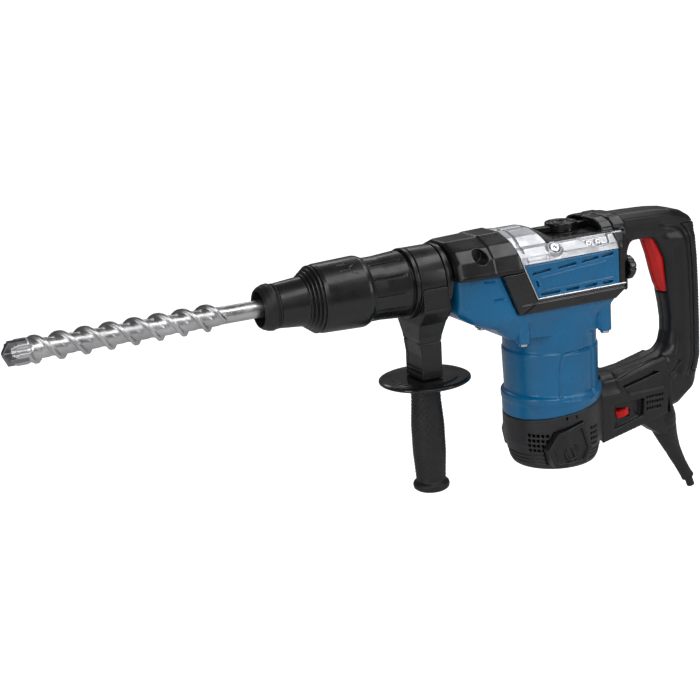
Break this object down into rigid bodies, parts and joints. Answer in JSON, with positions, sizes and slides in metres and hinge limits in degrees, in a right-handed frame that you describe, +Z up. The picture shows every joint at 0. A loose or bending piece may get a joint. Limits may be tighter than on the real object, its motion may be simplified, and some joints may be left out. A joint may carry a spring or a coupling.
{
  "type": "demolition hammer",
  "caption": "Rotary demolition hammer with vertical motor, D-handle, swivelling side handle and a fluted drill bit held in a quick-release chuck.",
  "frame": {"origin": "centre of the motor cap's flat underside, on the motor axis", "axes": "+X along the spindle towards the D-handle, with the bit at -X; +Y across the tool; +Z up along the motor axis"},
  "size_m": [0.7118, 0.107, 0.3124],
  "materials": {
    "blue_housing": "semi-gloss moulded polyamide, fine texture",
    "black_housing": "satin glass-filled polyamide",
    "dark_grey_cap": "fine matt texture",
    "magnesium": "bare machined and cast magnesium",
    "soft_rubber": "textured soft grip rubber",
    "red_control": "satin red plastic",
    "bit_steel": "bead-blasted bright steel",
    "carbide": "ground carbide",
    "machined_steel": "ground steel",
    "gear_steel": "hardened gear steel",
    "copper": "copper winding and commutator",
    "laminations": "stacked laminations",
    "carbon": "pressed carbon"
  },
  "bodies": {
    "housing": {"barrel_sleeve": "black_housing", "nose_housing": "black_housing", "gear_housing": "magnesium", "side_cover_left": "blue_housing", "side_cover_right": "blue_housing", "side_trim_left": "black_housing", "side_trim_right": "black_housing", "top_cover": "black_housing", "cover_screw_left": "machined_steel", "cover_screw_right": "machined_steel", "motor_housing": "blue_housing", "motor_cap": "dark_grey_cap", "brush_cover_left": "dark_grey_cap", "brush_cover_right": "dark_grey_cap", "handle_shell_left": "black_housing", "handle_shell_right": "black_housing", "grip_pad": "soft_rubber", "cable_boot": "soft_rubber", "power_cable": "soft_rubber", "trigger_switch": "black_housing", "electronics_module": "black_housing", "stator": "laminations", "carbon_brush_left": "carbon", "carbon_brush_right": "carbon", "upper_motor_bearing": "machined_steel", "lower_motor_bearing": "machined_steel", "tube_bearing": "machined_steel"},
    "spindle": {"tool_holder": "machined_steel", "hammer_tube": "machined_steel", "bevel_ring_gear": "gear_steel", "dust_cap": "soft_rubber", "chuck_cone": "black_housing", "sleeve_spring": "machined_steel"},
    "bit": {"drill_bit": "bit_steel", "carbide_head": "carbide"},
    "sleeve": {"locking_sleeve": "black_housing"},
    "pin_left": {"locking_pin_left": "machined_steel"},
    "pin_right": {"locking_pin_right": "machined_steel"},
    "impact_bolt": {"impact_bolt": "machined_steel"},
    "striker": {"striker": "machined_steel"},
    "piston": {"piston": "magnesium", "wrist_pin": "machined_steel"},
    "conrod": {"connecting_rod": "magnesium"},
    "crank": {"crank_gear": "gear_steel"},
    "compound": {"compound_gear": "gear_steel"},
    "bevel_shaft": {"bevel_pinion_shaft": "gear_steel"},
    "armature": {"armature_shaft": "machined_steel", "armature_core": "laminations", "commutator": "copper", "cooling_fan": "black_housing"},
    "side_handle": {"side_handle_bracket": "black_housing", "clamp_band": "black_housing", "clamp_bolt": "machined_steel"},
    "side_grip": {"side_grip": "soft_rubber", "hand_guard": "black_housing"},
    "mode_knob": {"mode_knob": "black_housing"},
    "trigger": {"trigger": "red_control"},
    "lock_button": {"lock_button": "black_housing"},
    "speed_wheel": {"speed_wheel": "red_control"}
  },
  "joints": [
    {"name": "armature_spin", "type": "hinge", "parent": "housing", "child": "armature", "pos_m": [0, 0, 0.105], "axis": [0, 0, 1], "continuous": true},
    {"name": "crank_spin", "type": "hinge", "parent": "housing", "child": "crank", "pos_m": [0.0316, 0, 0.175], "axis": [0, 0, 1], "continuous": true},
    {"name": "compound_spin", "type": "hinge", "parent": "housing", "child": "compound", "pos_m": [-0.0253, 0, 0.16], "axis": [0, 0, 1], "continuous": true},
    {"name": "bevel_shaft_spin", "type": "hinge", "parent": "housing", "child": "bevel_shaft", "pos_m": [-0.0528, 0, 0.165], "axis": [0, 0, 1], "continuous": true},
    {"name": "spindle_spin", "type": "hinge", "parent": "housing", "child": "spindle", "pos_m": [-0.1, 0, 0.205], "axis": [1, 0, 0], "continuous": true},
    {"name": "bit_slide", "type": "slide", "parent": "spindle", "child": "bit", "axis": [-1, 0, 0], "range_m": [0, 0.01]},
    {"name": "sleeve_slide", "type": "slide", "parent": "spindle", "child": "sleeve", "axis": [1, 0, 0], "range_m": [0, 0.012]},
    {"name": "pin_left_slide", "type": "slide", "parent": "spindle", "child": "pin_left", "axis": [0, -1, 0], "range_m": [0, 0.0032]},
    {"name": "pin_right_slide", "type": "slide", "parent": "spindle", "child": "pin_right", "axis": [0, 1, 0], "range_m": [0, 0.0032]},
    {"name": "impact_bolt_slide", "type": "slide", "parent": "housing", "child": "impact_bolt", "axis": [-1, 0, 0], "range_m": [0, 0.007]},
    {"name": "striker_slide", "type": "slide", "parent": "housing", "child": "striker", "axis": [1, 0, 0], "range_m": [0, 0.03]},
    {"name": "piston_slide", "type": "slide", "parent": "housing", "child": "piston", "axis": [1, 0, 0], "range_m": [0, 0.026]},
    {"name": "conrod_swing", "type": "hinge", "parent": "piston", "child": "conrod", "pos_m": [-0.0434, 0, 0.205], "axis": [0, 0, 1], "range_deg": [-12, 12]},
    {"name": "side_handle_swivel", "type": "hinge", "parent": "housing", "child": "side_handle", "pos_m": [-0.1405, 0, 0.205], "axis": [1, 0, 0], "continuous": true},
    {"name": "side_grip_turn", "type": "hinge", "parent": "side_handle", "child": "side_grip", "pos_m": [-0.1405, 0, 0.105], "axis": [0, 0, 1], "range_deg": [0, 360]},
    {"name": "mode_knob_turn", "type": "hinge", "parent": "housing", "child": "mode_knob", "pos_m": [0.0185, 0, 0.235], "axis": [0, 0, 1], "range_deg": [-60, 60]},
    {"name": "trigger_pull", "type": "hinge", "parent": "housing", "child": "trigger", "pos_m": [0.097, 0, 0.216], "axis": [0, -1, 0], "range_deg": [0, 8]},
    {"name": "lock_button_press", "type": "slide", "parent": "housing", "child": "lock_button", "axis": [-1, 0, 0], "range_m": [0, 0.004]},
    {"name": "speed_wheel_turn", "type": "hinge", "parent": "housing", "child": "speed_wheel", "pos_m": [0.073, -0.0116, 0.035], "axis": [-0.2079, 0, 0.9781], "range_deg": [0, 270]}
  ],
  "couplings": [
    {"joint": "crank_spin", "follows": "armature_spin", "ratio": -0.17021},
    {"joint": "compound_spin", "follows": "armature_spin", "ratio": -0.22222},
    {"joint": "bevel_shaft_spin", "follows": "armature_spin", "ratio": 0.065359},
    {"joint": "spindle_spin", "follows": "armature_spin", "ratio": -0.017535},
    {"joint": "pin_left_slide", "follows": "sleeve_slide", "ratio": 0.266},
    {"joint": "pin_right_slide", "follows": "sleeve_slide", "ratio": 0.266}
  ]
}
